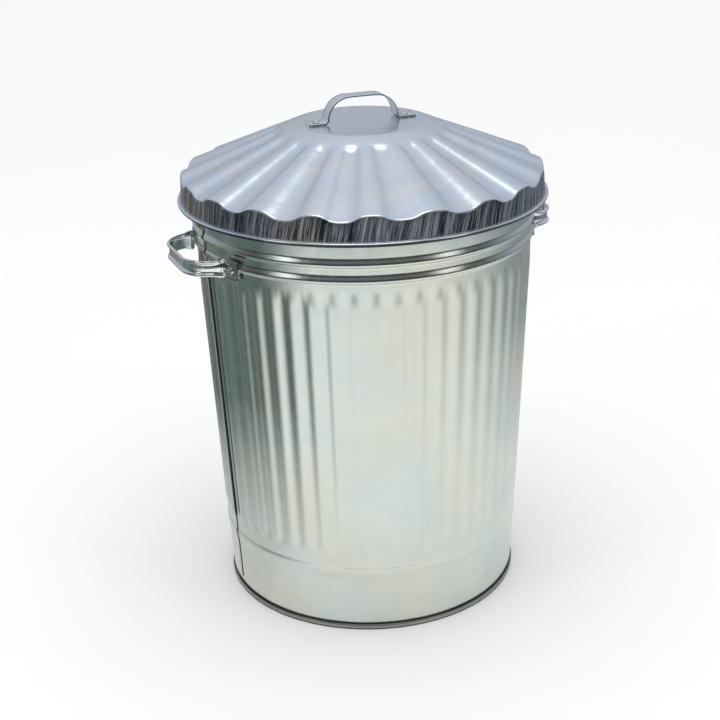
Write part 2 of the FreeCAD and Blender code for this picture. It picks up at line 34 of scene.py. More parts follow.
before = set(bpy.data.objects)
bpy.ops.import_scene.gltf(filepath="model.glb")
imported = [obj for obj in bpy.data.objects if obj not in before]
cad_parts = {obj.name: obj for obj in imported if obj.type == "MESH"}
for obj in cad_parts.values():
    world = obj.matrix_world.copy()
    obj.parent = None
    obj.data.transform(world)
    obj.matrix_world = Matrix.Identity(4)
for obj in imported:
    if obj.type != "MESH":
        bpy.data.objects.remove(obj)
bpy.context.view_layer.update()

# ---------------------------------------------------------------------------
# Sizes of the bin, in metres
# ---------------------------------------------------------------------------

BODY_HEIGHT = 0.5785
FLOOR_RADIUS = 0.2013
MOUTH_RADIUS = 0.2268
SHEET = 0.001
WALL_START = 0.001
FLUTES = 52
FLUTE_LOW, FLUTE_HIGH = 0.112, 0.489
FLUTE_RUNOUT, FLUTE_RUNIN = 0.026, 0.014
FLUTE_SWING = 0.0011
FLUTE_SHARPNESS = 0.7
FLUTE_LOW_BOW, FLUTE_HIGH_BOW = 0.003, 0.008
FLUTE_COLUMNS = 14
SEAM_ANGLE = math.radians(181.6)
SEAM_WIDTH = 0.005
BEAD_CRESTS = (0.4997, 0.5207)
BEAD_ABOVE, BEAD_BELOW, BEAD_PROUD = 0.0085, 0.0058, 0.003
SWAGE_TOP, SWAGE_STEP, SWAGE_FADE, SWAGE_PROUD = 0.0988, 0.0078, 0.017, 0.00132
MOUTH_CURL = 0.004
FOOT_HEIGHT = 0.0075
FOOT_FIT, FOOT_SHEET, FOOT_EDGE = 0.0003, 0.0016, 0.0020
FOOT_COLUMNS = 260
PAN_TOP, PAN_BEND, PAN_FLANGE_LOW, PAN_FIT = 0.0170, 0.003, 0.0012, 0.0003
# heights between which the wall's rows lie close together
SWAGE_ROWS = (0.074, 0.100)
BEAD_ROWS = ((0.4935, 0.509), (0.5145, 0.530))
FLUTE_END_ROWS = (0.018, 0.036)

LID_RADIUS = 0.2401
LID_CURL = 0.0027
LID_HEIGHT = 0.0975
SKIRT_HEIGHT = 0.0365
CROWN_RADIUS = 0.088
LID_FLUTES = 20
LID_FLUTE_TURN = math.radians(-1.5)
LID_FLUTE_START, LID_FLUTE_FULL = 0.103, 0.118
LID_FLUTE_DEEP = 0.0085
LID_FLUTE_SHARPNESS = 1.35
LID_FLUTE_COLUMNS = 28
SHOULDER = 0.0046
SHOULDER_START = 75
CREASE_DEEP, CREASE_WIDTH = 0.00042, 0.0018
# the curl's section in the frame is a hexagon, which reaches a little below the round one
LID_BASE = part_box("lid_shell")[0].z + LID_CURL * (1 / math.cos(math.pi / 6) - 1)

GRIP_HEIGHT = 0.4965
GRIP_HALF = 0.065
GRIP_REACH = 0.0320
GRIP_CORNER = 0.039
GRIP_ROOT = 0.0045
GRIP_SHEET = 0.002
GRIP_STRAP = 0.026
GRIP_ARM = 0.0208
PAD_LENGTH = 0.025
PAD_FIT = 0.0002
PAD_BEAD_HEIGHT = 0.5045
STRAP_STEP = 0.0015

LID_TURN = math.radians(-4.0)
KNOB_HALF = 0.047
KNOB_RISE = 0.034
KNOB_CORNER = 0.029
KNOB_ROOT = 0.006
KNOB_FOOT = 0.026
KNOB_WIDTH = 0.026
KNOB_SHEET = 0.0022
KNOB_STEP = 0.0016

RIVET_RADIUS, RIVET_RISE = 0.0050, 0.0022
TAIL_RADIUS, TAIL_RISE = 0.0042, 0.0014
RIVET_COLUMNS = 28

# camera of the photograph
CAMERA_PLACE = Vector((-0.7030, -1.6889, 1.0543))
CAMERA_HEADING = math.radians(22.291)
CAMERA_PITCH = math.radians(22.190)
CAMERA_ROLL = math.radians(-1.622)
CAMERA_LENS = 70.92
CAMERA_SIDE = -112.6


def wall_radius(height):
    """Outside radius of the plain wall at a height."""
    return FLOOR_RADIUS + (MOUTH_RADIUS - FLOOR_RADIUS) * height / BODY_HEIGHT


def smooth(x):
    """Ease from 0 to 1."""
    x = np.clip(x, 0.0, 1.0)
    return x * x * (3 - 2 * x)


# ---------------------------------------------------------------------------
# Node helpers
# ---------------------------------------------------------------------------

class Nodes:
    """Builds a node tree: each call adds a node, and sets its sockets from numbers or from other sockets."""

    def __init__(self, tree):
        self.tree = tree
        tree.nodes.clear()

    def add(self, kind, settings=None, **sockets):
        node = self.tree.nodes.new(kind)
        for name, value in (settings or {}).items():
            setattr(node, name, value)
        for name, value in sockets.items():
            socket = node.inputs[int(name[1:])] if name[1:].isdigit() else node.inputs[name.replace("_", " ")]
            self.feed(socket, value)
        return node

    def feed(self, socket, value):
        if isinstance(value, bpy.types.NodeSocket):
            self.tree.links.new(value, socket)
        else:
            socket.default_value = value

    def output(self, shader):
        self.add("ShaderNodeOutputMaterial", Surface=shader.outputs[0])

    def math(self, operation, first, second=0.0, clamp=False):
        node = self.add("ShaderNodeMath", {"operation": operation, "use_clamp": clamp}, i0=first, i1=second)
        return node.outputs[0]

    def stretched(self, vector, scale):
        node = self.add("ShaderNodeMapping", Vector=vector, Scale=scale)
        return node.outputs["Vector"]

    def noise(self, vector, scale=1.0, detail=3.0, roughness=0.5):
        node = self.add("ShaderNodeTexNoise", Vector=vector, Scale=scale, Detail=detail, Roughness=roughness)
        return node.outputs["Fac"]

    def cells(self, vector, scale):
        node = self.add("ShaderNodeTexVoronoi", Vector=vector, Scale=scale)
        return self.add("ShaderNodeSeparateColor", Color=node.outputs["Color"]).outputs[0]

    def spread(self, value, low, high, out_low=0.0, out_high=1.0):
        node = self.add("ShaderNodeMapRange", Value=value, From_Min=low, From_Max=high,
                        To_Min=out_low, To_Max=out_high)
        return node.outputs["Result"]

    def blend(self, share, first, second, mode="MIX"):
        node = self.add("ShaderNodeMix", {"data_type": "RGBA", "blend_type": mode}, i0=share)
        self.feed(node.inputs[6], first)
        self.feed(node.inputs[7], second)
        return node.outputs[2]

    def bump(self, height, strength, distance, normal=None):
        node = self.add("ShaderNodeBump", Height=height, Strength=strength, Distance=distance)
        if normal is not None:
            self.feed(node.inputs["Normal"], normal)
        return node.outputs["Normal"]


def new_material(name):
    """A material and the builder of its node tree."""
    material = bpy.data.materials.new(name)
    material.use_nodes = True
    return material, Nodes(material.node_tree)


def finish_material(n, material, colour, gloss, normal):
    """Metal surface from its colour, roughness and normal."""
    shader = n.add("ShaderNodeBsdfPrincipled", Base_Color=colour, Metallic=1.0, Roughness=gloss, Normal=normal)
    n.output(shader)
    return material


def zinc_material(name, pale, deep, rough, streak=0.5, spangle=0.5, speck=0.0, wave=0.25):
    """Galvanized steel sheet: zinc crystals, rolling streaks, cloudy patches and a faint waviness."""
    pale, deep = (*pale, 1), (*deep, 1)
    material, n = new_material(name)
    uv = n.add("ShaderNodeTexCoord").outputs["UV"]
    cloud = n.noise(uv, 9.0, 3.0)
    crystal = n.cells(uv, 75.0)
    grain = n.noise(uv, 900.0, 2.0)
    lines = n.noise(n.stretched(uv, (420.0, 9.0, 1.0)), 1.0, 4.0, 0.6)
    tone = n.math("MULTIPLY", n.math("SUBTRACT", cloud, 0.5), 1.1)
    tone = n.math("ADD", tone, n.math("MULTIPLY", n.math("SUBTRACT", crystal, 0.5), spangle * 0.35))
    tone = n.math("ADD", tone, n.math("MULTIPLY", n.math("SUBTRACT", lines, 0.5), streak * 1.1))
    tone = n.math("ADD", tone, 0.5, clamp=True)
    colour = n.blend(tone, deep, pale)
    patches = n.spread(n.noise(uv, 8.0, 3.0), 0.40, 0.60)
    tinge = n.blend(patches, (1.0, 0.975, 0.93, 1), (0.94, 0.975, 1.0, 1))
    colour = n.blend(1.0, colour, tinge, "MULTIPLY")
    if speck:
        dots = n.noise(uv, 420.0, 2.0, 0.6)
        marks = n.math("MULTIPLY", n.spread(dots, 0.66, 0.72), speck, clamp=True)
        colour = n.blend(marks, colour, (0.10, 0.10, 0.11, 1))
    gloss = n.math("ADD", n.math("MULTIPLY", n.math("SUBTRACT", lines, 0.5), 0.16 * streak), rough)
    gloss = n.math("ADD", gloss, n.math("MULTIPLY", n.math("SUBTRACT", cloud, 0.5), 0.10))
    gloss = n.math("ADD", gloss, n.math("MULTIPLY", n.math("SUBTRACT", crystal, 0.5), 0.05), clamp=True)
    normal = n.bump(n.noise(uv, 14.0, 2.0), wave, 0.0025)
    normal = n.bump(lines, 0.12 * streak, 0.0002, normal)
    normal = n.bump(grain, 0.06, 0.0002, normal)
    return finish_material(n, material, colour, gloss, normal)


def skirt_material(name):
    """Skirt of the lid: drawn steel with upright scratches, darker than the rest."""
    material, n = new_material(name)
    uv = n.add("ShaderNodeTexCoord").outputs["UV"]
    fine = n.noise(n.stretched(uv, (900.0, 16.0, 1.0)), 1.0, 4.0, 0.65)
    broad = n.noise(n.stretched(uv, (130.0, 5.0, 1.0)), 1.0, 3.0)
    patch = n.noise(n.stretched(uv, (9.0, 9.0, 1.0)), 1.0, 2.0)
    scratches = n.math("ADD", n.math("MULTIPLY", fine, 0.75), n.math("MULTIPLY", broad, 0.35))
    marks = n.spread(scratches, 0.50, 0.64)
    tint = n.blend(n.spread(patch, 0.42, 0.60), (0.54, 0.58, 0.64, 1), (0.72, 0.66, 0.58, 1))
    colour = n.blend(marks, (0.09, 0.095, 0.11, 1), tint)
    gloss = n.spread(marks, 0.0, 1.0, 0.20, 0.62)
    normal = n.bump(fine, 0.55, 0.0004)
    return finish_material(n, material, colour, gloss, normal)


def shade_strip_material(name):
    """Painted shade: a near-black sheet that stands in for the shadow in a fold, its darkness varied by noise.
    """
    material, n = new_material(name)
    uv = n.add("ShaderNodeTexCoord").outputs["UV"]
    shade_noise = n.noise(uv, 300.0, 3.0)
    colour = n.blend(shade_noise, (0.006, 0.006, 0.006, 1), (0.03, 0.028, 0.025, 1))
    shader = n.add("ShaderNodeBsdfPrincipled", Base_Color=colour, Metallic=0.0, Roughness=0.8)
    n.output(shader)
    return material


BODY_ZINC = zinc_material("body_zinc", (0.755, 0.795, 0.735), (0.61, 0.65, 0.60), 0.22, 0.5, 0.45, 0.35)
LID_ZINC = zinc_material("lid_zinc", (0.83, 0.85, 0.90), (0.70, 0.725, 0.785), 0.24, 0.0, 0.3, 0.5)
HANDLE_ZINC = zinc_material("handle_zinc", (0.96, 0.965, 0.975), (0.74, 0.755, 0.78), 0.12, 0.3, 0.3, 0.6)
# the handle's zinc painted darker for the pads, as painted shade, and rougher
PAD_PAINTED_SHADE = zinc_material("pad_zinc_painted_shade", (0.60, 0.62, 0.64), (0.40, 0.42, 0.45), 0.24, 0.4, 0.4, 0.6)
# near-black zinc that paints shade: the foot band's underside, the pads' tips, the lower part of the lid's curl
# and the lid handle's edges
PAINTED_SHADE_EDGE = zinc_material("painted_shade_edge", (0.10, 0.11, 0.12), (0.04, 0.045, 0.05), 0.35, 0.2, 0.2)
RIVET_ZINC = zinc_material("rivet_zinc", (0.80, 0.81, 0.81), (0.55, 0.56, 0.57), 0.22, 0.2, 0.3)
HOOP_ZINC = zinc_material("hoop_zinc", (0.40, 0.42, 0.41), (0.22, 0.24, 0.23), 0.30, 0.5, 0.5)
SKIRT_STEEL = skirt_material("skirt_steel")
# near-black painted shade for the folds of the seam and the foot
PAINTED_FOLD_SHADE = shade_strip_material("painted_fold_shade")


# ---------------------------------------------------------------------------
# Mesh helpers
# ---------------------------------------------------------------------------

def grid_mesh(name, points, uv, closed_rows=False, closed_columns=True):
    """Mesh from a grid of points, rows by columns. uv has one more column than points where columns close."""
    rows, columns = points.shape[:2]
    row_steps = rows if closed_rows else rows - 1
    column_steps = columns if closed_columns else columns - 1
    i, j = np.meshgrid(np.arange(row_steps), np.arange(column_steps), indexing="ij")
    i_next, j_next = (i + 1) % rows, (j + 1) % columns
    corner_grid = [i * columns + j, i * columns + j_next, i_next * columns + j_next, i_next * columns + j]
    faces = np.stack(corner_grid, -1)
    mesh = bpy.data.meshes.new(name)
    mesh.from_pydata(points.reshape(-1, 3).tolist(), [], faces.reshape(-1, 4).tolist())
    layer = mesh.uv_layers.new(name="metres")
    i_flat = np.minimum(i + 1, uv.shape[0] - 1)
    corners = np.stack([uv[i, j], uv[i, j + 1], uv[i_flat, j + 1], uv[i_flat, j]], 2)
    layer.data.foreach_set("uv", corners.reshape(-1).astype(np.float32))
    mesh.polygons.foreach_set("use_smooth", [True] * len(mesh.polygons))
    return mesh


def paint_faces(mesh, spans):
    """Give faces a material's place in the list: (first face, face after the last, step, place) spans."""
    index = np.zeros(len(mesh.polygons), np.int32)
    for first, last, step, place in spans:
        index[first:last:step] = place
    mesh.polygons.foreach_set("material_index", index)


def add_piece(name, mesh, body, materials, nodes=()):
    """Link a mesh as a piece that rides on a body and stands for CAD nodes."""
    for material in materials:
        mesh.materials.append(material)
    piece = bpy.data.objects.new(name, mesh)
    bpy.context.scene.collection.objects.link(piece)
    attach(piece, body)
    if nodes:
        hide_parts(*nodes)
    return piece


def turned_mesh(name, profile, columns, closed=False):
    """Turn (radius, height) points round Z."""
    profile = np.array(profile, float)
    turns = np.linspace(0, 2 * np.pi, columns + 1)
    r, z = profile[:, 0][:, None], profile[:, 1][:, None]
    points = np.stack([r * np.cos(turns[:-1]), r * np.sin(turns[:-1]), z + 0 * turns[:-1]], -1)
    along = np.concatenate([[0], np.cumsum(np.hypot(*np.diff(profile, axis=0).T))])
    width = max(profile[:, 0].max(), 1e-4)
    uv = np.stack(np.broadcast_arrays(turns * width, along[:, None]), -1)
    return grid_mesh(name, points, uv, closed_rows=closed)


def arc_points(centre, radius, start, end, count):
    """(x, y) points of an arc, angles in degrees."""
    turns = np.radians(np.linspace(start, end, count))
    return [(centre[0] + radius * math.cos(t), centre[1] + radius * math.sin(t)) for t in turns]


def flip_if_inward(mesh, outward):
    """Turn all faces round where the first face's normal points against the outward direction."""
    mesh.update()
    if mesh.polygons[0].normal.dot(Vector(outward)) < 0:
        mesh.flip_normals()


# ---------------------------------------------------------------------------
# Body: wall with flutes, beads, swage and rolled mouth
# ---------------------------------------------------------------------------

def wall_offset(height):
    """How far beads and swage stand off the plain wall: beads slope longer above their crests."""
    offset = SWAGE_PROUD * smooth((SWAGE_TOP - height) / SWAGE_STEP)
    offset = offset * smooth((height - SWAGE_TOP + SWAGE_STEP + SWAGE_FADE) / SWAGE_FADE)
    for crest in BEAD_CRESTS:
        x = (height - crest) / np.where(height > crest, BEAD_ABOVE, BEAD_BELOW)
        offset = offset + BEAD_PROUD * np.cos(np.clip(x, -1, 1) * np.pi / 2) ** 2
    return offset


def flute_offset(turn, height):
    """Wave of the flutes: soft crests and valleys that fade in rounded ends."""
    phase = (turn - SEAM_ANGLE) * FLUTES
    wave = np.tanh(FLUTE_SHARPNESS * np.cos(phase)) / math.tanh(FLUTE_SHARPNESS)
    bow = 1 - np.abs(np.cos(phase))
    low = smooth((height - FLUTE_LOW - FLUTE_LOW_BOW * bow) / FLUTE_RUNIN)
    rise = low * smooth((FLUTE_HIGH - FLUTE_HIGH_BOW * bow - height) / FLUTE_RUNOUT)
    return FLUTE_SWING * wave * rise


def dense_heights(spans):
    """Heights that step through (end, count) spans."""
    heights = [WALL_START]
    for end, count in spans:
        heights += list(np.linspace(heights[-1], end, count + 1)[1:])
    return np.array(heights)


def body_wall_mesh():
    """Sheet of the wall, outside and inside, joined by the rolled mouth."""
    curl_low = BODY_HEIGHT - 2 * MOUTH_CURL
    low_bead, high_bead = BEAD_ROWS
    outer = dense_heights([(SWAGE_ROWS[0], 5), (SWAGE_ROWS[1], 28), (FLUTE_LOW - 0.001, 3),
                           (FLUTE_LOW + FLUTE_END_ROWS[0], 20), (FLUTE_HIGH - FLUTE_END_ROWS[1], 8),
                           (FLUTE_HIGH, 18), (low_bead[0], 2), (low_bead[1], 30), (high_bead[0], 3),
                           (high_bead[1], 30), (curl_low + 0.002, 6)])
    inner = outer[::-1]
    turns = SEAM_ANGLE + np.linspace(0, 2 * np.pi, FLUTES * FLUTE_COLUMNS + 1)
    phase = turns[:-1]
    rows = []
    for height in outer:
        rows.append((wall_radius(height) + wall_offset(height) + flute_offset(phase, height), height))
    top = BODY_HEIGHT - MOUTH_CURL
    ring = wall_radius(top) - SHEET / 2 + MOUTH_CURL
    for radius, height in arc_points((ring, top), MOUTH_CURL, -160, 165, 22):
        rows.append((radius + 0 * phase, height))
    for height in inner:
        rows.append((wall_radius(height) + wall_offset(height) + flute_offset(phase, height) - SHEET, height))
    radii = np.array([r + 0 * phase for r, _ in rows])
    heights = np.array([h for _, h in rows])[:, None] + 0 * phase
    points = np.stack([radii * np.cos(phase), radii * np.sin(phase), heights], -1)
    along = np.concatenate([[0], np.cumsum(np.hypot(np.diff(radii[:, 0]), np.diff(heights[:, 0])))])
    uv = np.stack(np.broadcast_arrays((turns - SEAM_ANGLE) * FLOOR_RADIUS, along[:, None]), -1)
    mesh = grid_mesh("body_wall", points, uv, closed_rows=True)
    middle = mesh.polygons[0].center
    flip_if_inward(mesh, (middle.x, middle.y, 0))
    return mesh


def seam_path():
    """Height and radius of the wall along the seam's crest."""
    low_bead, high_bead = BEAD_ROWS
    heights = dense_heights([(SWAGE_ROWS[0], 4), (SWAGE_ROWS[1], 22), (FLUTE_LOW + FLUTE_END_ROWS[0], 18),
                             (FLUTE_HIGH - FLUTE_END_ROWS[1], 6), (FLUTE_HIGH, 14), (low_bead[0], 2),
                             (low_bead[1], 24), (high_bead[0], 3), (high_bead[1], 24),
                             (BODY_HEIGHT - 2 * MOUTH_CURL, 4)])
    heights = heights[heights > FOOT_HEIGHT + 0.0008]
    radii = wall_radius(heights) + wall_offset(heights) + flute_offset(SEAM_ANGLE, heights)
    return heights, radii


def seam_mesh(name, section, shift=0.0):
    """Strip that follows the seam. The section's points are (sideways, outwards)."""
    heights, radii = seam_path()
    side = np.array([-math.sin(SEAM_ANGLE), math.cos(SEAM_ANGLE), 0])
    out = np.array([math.cos(SEAM_ANGLE), math.sin(SEAM_ANGLE), 0])
    points = np.zeros((len(heights), len(section), 3))
    for index, (across, proud) in enumerate(section):
        points[:, index] = out * (radii + proud)[:, None] + side * (across + shift)
        points[:, index, 2] = heights
    across = np.array([p[0] for p in section])
    uv = np.stack(np.broadcast_arrays(across, heights[:, None]), -1)
    mesh = grid_mesh(name, points, uv, closed_columns=False)
    flip_if_inward(mesh, out)
    return mesh


add_piece("body_wall", body_wall_mesh(), "can", [BODY_ZINC], ["body_shell"])
half_seam = SEAM_WIDTH / 2
seam_section = [(-half_seam, -0.0005), (-half_seam, 0.0004), (-half_seam + 0.0006, 0.0009), (0.0, 0.0010),
                (half_seam - 0.0007, 0.0009), (half_seam, 0.0003), (half_seam, -0.0005)]
add_piece("lock_seam", seam_mesh("lock_seam", seam_section), "can", [BODY_ZINC])
# painted shade: a thin dark strip beside the seam stands in for the shadow in its fold
seam_shade_section = [(0.0, -0.0006), (0.0, 0.0003), (0.0040, 0.0001), (0.0046, -0.0008)]
add_piece("lock_seam_painted_shade", seam_mesh("lock_seam_painted_shade", seam_shade_section, half_seam), "can", [PAINTED_FOLD_SHADE])

# foot ring: thin band pressed over the wall, with rounded edges
foot_inside = wall_radius(FOOT_HEIGHT) + FOOT_FIT
foot_outside = foot_inside + FOOT_SHEET
foot_profile = [(foot_inside, 0.0004), (foot_inside + 0.0004, 0.0), (foot_outside - 0.0005, 0.0)]
foot_profile += [(foot_outside, 0.0006), (foot_outside, FOOT_EDGE), (foot_outside, FOOT_HEIGHT - 0.0008)]
foot_profile += [(foot_outside - 0.0006, FOOT_HEIGHT - 0.0001), (foot_inside, FOOT_HEIGHT - 0.0001)]
hoop_mesh = turned_mesh("foot_band", foot_profile, FOOT_COLUMNS, closed=True)
# the band's underside and lower edge are painted near-black, as painted shade along the floor
paint_faces(hoop_mesh, [(0, 4 * FOOT_COLUMNS, 1, 1)])
add_piece("foot_band", hoop_mesh, "can", [HOOP_ZINC, PAINTED_SHADE_EDGE], ["base_hoop"])
# painted shade: a thin dark ring where the band meets the wall stands in for the shadow in that fold
foot_shade_profile = [(foot_inside - 0.0001, FOOT_HEIGHT - 0.0004), (foot_inside + 0.0008, FOOT_HEIGHT + 0.0001),
               (foot_inside - 0.0002, FOOT_HEIGHT + 0.0005)]
add_piece("foot_painted_shade", turned_mesh("foot_painted_shade", foot_shade_profile, FOOT_COLUMNS), "can", [PAINTED_FOLD_SHADE])

# bottom pan: dished sheet with a flange down into the foot
pan_edge = FLOOR_RADIUS - SHEET - PAN_FIT
pan_inside = pan_edge - SHEET
pan_profile = [(0.0001, 0.0163), (0.12, 0.0163), (0.188, 0.0166), (pan_edge - 0.004, PAN_TOP)]
pan_profile += arc_points((pan_edge - PAN_BEND, PAN_TOP - PAN_BEND), PAN_BEND, 90, 0, 6)
pan_profile += [(pan_edge, PAN_FLANGE_LOW), (pan_inside, PAN_FLANGE_LOW), (pan_inside, 0.0138)]
pan_profile += [(pan_edge - 0.004, 0.0158), (0.188, 0.0156), (0.12, 0.0153), (0.0001, 0.0153)]
add_piece("pan", turned_mesh("pan", pan_profile, 200), "can", [BODY_ZINC], ["bottom_pan"])


# ---------------------------------------------------------------------------
# Straps: side handles and the lid's handle
# ---------------------------------------------------------------------------

def path_with_bends(corners, radii, step):
    """Points along straight runs with round bends, spaced by about a step, with the length along the path."""
    corners = [np.array(c, float) for c in corners]
    points = [corners[0]]
    for before, corner, after, radius in zip(corners, corners[1:], corners[2:], radii):
        back = (before - corner) / np.linalg.norm(before - corner)
        ahead = (after - corner) / np.linalg.norm(after - corner)
        half = math.acos(np.clip(back @ ahead, -1, 1)) / 2
        first = corner + back * radius / math.tan(half)
        bisector = (back + ahead) / np.linalg.norm(back + ahead)
        centre = corner + bisector * radius / math.sin(half)
        spoke = first - centre
        sweep = math.pi - 2 * half
        side = 1 if spoke[1] * back[0] > spoke[0] * back[1] else -1
        points += line_points(points[-1], first, step)
        count = max(3, int(round(sweep * radius / step)))
        for index in range(1, count + 1):
            t = side * sweep * index / count
            turn = np.array([[math.cos(t), -math.sin(t)], [math.sin(t), math.cos(t)]])
            points.append(centre + turn @ spoke)
    points += line_points(points[-1], corners[-1], step)
    points = np.array(points)
    steps = np.linalg.norm(np.diff(points, axis=0), axis=1)
    keep = np.concatenate([[True], steps > 1e-7])
    points = points[keep]
    along = np.concatenate([[0], np.cumsum(np.linalg.norm(np.diff(points, axis=0), axis=1))])
    return points, along


def line_points(start, end, step):
    """Points after start up to end."""
    count = max(1, int(round(np.linalg.norm(end - start) / step)))
    return [start + (end - start) * index / count for index in range(1, count + 1)]


def path_normals(points):
    """Unit normals to the left of a plane path."""
    along = np.gradient(points, axis=0)
    along /= np.linalg.norm(along, axis=1)[:, None]
    return np.stack([-along[:, 1], along[:, 0]], -1)


def flat_section(width, thickness, edge):
    """Section of a flat strap with rounded edges: (height, outwards) points round it."""
    half, t = width / 2, thickness / 2
    e = min(edge, t)
    return np.array([(half - e, t), (half, t - e), (half, -t + e), (half - e, -t), (0.5 * half, -t), (0, -t),
                     (-0.5 * half, -t), (-half + e, -t), (-half, -t + e), (-half, t - e), (-half + e, t),
                     (-0.5 * half, t), (0, t), (0.5 * half, t)])


def rolled_section(width, thickness, roll, count=7):
    """Section of a strap whose two edges are rolled outwards, with as many points as asked for each edge."""
    t = thickness / 2
    half = width / 2
    upper = arc_points((half - roll, roll - t), roll, 205, -90, count)
    lower = [(-h, o) for h, o in reversed(upper)]
    inside = [(0.35 * half, -t), (0, -t * 0.8), (-0.35 * half, -t)]
    outside = [(-0.35 * half, t), (0, t * 1.2), (0.35 * half, t)]
    return np.array(upper + inside + lower + outside)


def strap_mesh(name, points, along, sections, lift):
    """Sweep sections along a plane path. lift maps (x, y, height) to a place in the frame."""
    normals = path_normals(points)
    count = sections.shape[1]
    grid = np.zeros((len(points), count, 3))
    grid[:, :, 0] = points[:, 0][:, None] + normals[:, 0][:, None] * sections[:, :, 1]
    grid[:, :, 1] = points[:, 1][:, None] + normals[:, 1][:, None] * sections[:, :, 1]
    grid[:, :, 2] = sections[:, :, 0]
    grid = lift(grid)
    round_section = np.concatenate([[0], np.cumsum(np.linalg.norm(np.diff(sections[0], axis=0), axis=1))])
    round_section = np.append(round_section, round_section[-1] + 0.002)
    uv = np.stack(np.broadcast_arrays(round_section, along[:, None]), -1)
    mesh = grid_mesh(name, grid, uv)
    # close both ends
    total = len(points)
    start_ring = list(range(count))
    end_ring = [(total - 1) * count + index for index in range(count)]
    return close_rings(mesh, start_ring[::-1], end_ring)


def close_rings(mesh, *rings):
    """Add one face over each ring of vertices, and turn the faces outwards."""
    vertices = [tuple(v.co) for v in mesh.vertices]
    faces = [tuple(p.vertices) for p in mesh.polygons]
    uv = np.zeros(len(mesh.loops) * 2, np.float32)
    mesh.uv_layers[0].data.foreach_get("uv", uv)
    extra = sum(len(ring) for ring in rings)
    made = bpy.data.meshes.new(mesh.name)
    made.from_pydata(vertices, [], faces + [tuple(ring) for ring in rings])
    layer = made.uv_layers.new(name="metres")
    layer.data.foreach_set("uv", np.concatenate([uv, np.zeros(extra * 2, np.float32)]))
    made.polygons.foreach_set("use_smooth", [True] * len(faces) + [False] * len(rings))
    made.update()
    middle = sum((v.co for v in made.vertices), Vector()) / len(made.vertices)
    if sum((p.center - middle).dot(p.normal) * p.area for p in made.polygons) < 0:
        made.flip_normals()
    return made


def blend_sections(first, second, share):
    """Sections between two, one for each share."""
    share = np.asarray(share)[:, None, None]
    return first[None] * (1 - share) + second[None] * share


PAD_INSIDE = wall_radius(PAD_BEAD_HEIGHT) + BEAD_PROUD + PAD_FIT
PAD_MIDDLE = PAD_INSIDE + GRIP_SHEET / 2
PAD_TURN = math.asin(GRIP_HALF / PAD_MIDDLE) + GRIP_ROOT / PAD_MIDDLE
PAD_SWEEP = PAD_LENGTH / PAD_MIDDLE
RIVET_TURN = PAD_TURN + 0.5 * PAD_SWEEP


def side_handle_path():
    """Plan of a side handle on the +X side, from the tip of one pad to the other's."""
    def polar(radius, turn):
        return np.array([radius * math.cos(turn), radius * math.sin(turn)])

    outer = PAD_MIDDLE + GRIP_REACH
    knee = polar(PAD_MIDDLE / math.cos(PAD_SWEEP / 2), PAD_TURN + PAD_SWEEP / 2)
    tip = polar(PAD_MIDDLE, PAD_TURN + PAD_SWEEP) + polar(0.001, PAD_TURN + PAD_SWEEP + math.pi / 2)
    pad_start = polar(PAD_MIDDLE, PAD_TURN)
    base = pad_start + polar((pad_start[1] - GRIP_HALF) / math.cos(PAD_TURN), PAD_TURN - math.pi / 2)
    side = [tip, knee, base, np.array([outer, GRIP_HALF])]
    radii = [PAD_MIDDLE, GRIP_ROOT, GRIP_CORNER]
    return path_with_bends(side + [p * (1, -1) for p in reversed(side)], radii + radii[::-1], STRAP_STEP)


def rounded_tip(sections, along, corner):
    """Draw the ends of a strap in to round corners."""
    half = np.abs(sections[:, :, 0]).max(axis=1)
    for index, distance in enumerate(np.minimum(along, along[-1] - along)):
        if distance < corner:
            inset = corner - math.sqrt(max(corner ** 2 - (corner - distance) ** 2, 0))
            sections[index, :, 0] *= (half[index] - inset) / half[index]
    return sections


def side_handle_mesh(name, turn):
    """Bent strap with rolled edges and flat pads, turned round Z."""
    points, along = side_handle_path()
    flat = flat_section(GRIP_STRAP, GRIP_SHEET, 0.0006)
    rolled = rolled_section(GRIP_ARM, GRIP_SHEET * 0.75, 0.0021, 9)
    flat = match_points(flat, rolled)
    distance = np.minimum(along, along[-1] - along)
    share = smooth((distance - PAD_LENGTH - 0.004) / 0.016)
    sections = blend_sections(flat, rolled, share)
    flare = 1 + 0.10 * np.exp(-((distance - PAD_LENGTH - 0.010) / 0.006) ** 2)
    sections[:, :, 0] *= flare[:, None]
    sections[:, :, 0] = np.clip(sections[:, :, 0], -GRIP_STRAP / 2, GRIP_STRAP / 2)
    sections = rounded_tip(sections, along, 0.004)
    cos_t, sin_t = math.cos(turn), math.sin(turn)

    def lift(grid):
        x, y, z = grid[..., 0], grid[..., 1], grid[..., 2]
        return np.stack([x * cos_t - y * sin_t, x * sin_t + y * cos_t, z + GRIP_HEIGHT], -1)

    mesh = strap_mesh(name, points, along, sections, lift)
    # pads painted darker as painted shade, and rougher; their tips painted near-black as lines of painted shade
    count = sections.shape[1]
    first_arm, last_arm = np.nonzero(distance[:-1] >= PAD_LENGTH)[0][[0, -1]]
    faces = len(mesh.polygons)
    band_end = faces - 2
    paint_faces(mesh, [(0, first_arm * count, 1, 1), ((last_arm + 1) * count, faces, 1, 1), (0, count, 1, 2),
                       (band_end - count, band_end, 1, 2)])
    return mesh


def match_points(flat, like):
    """Move a flat section's outline to as many points as another has, at matching places."""
    half, t = flat[:, 0].max(), flat[:, 1].max()
    edge = 0.0006
    made = []
    like_half = like[:, 0].max()
    middle = (like[:, 1].max() + like[:, 1].min()) / 2
    for height, out in like:
        share = height / like_half
        side = t if (out > middle if abs(share) > 0.5 else out > 0) else -t
        place = max(-half, min(half, share * half))
        made.append((place, side * (1 - edge / t if abs(abs(place) - half) < 1e-5 else 1)))
    return np.array(made)


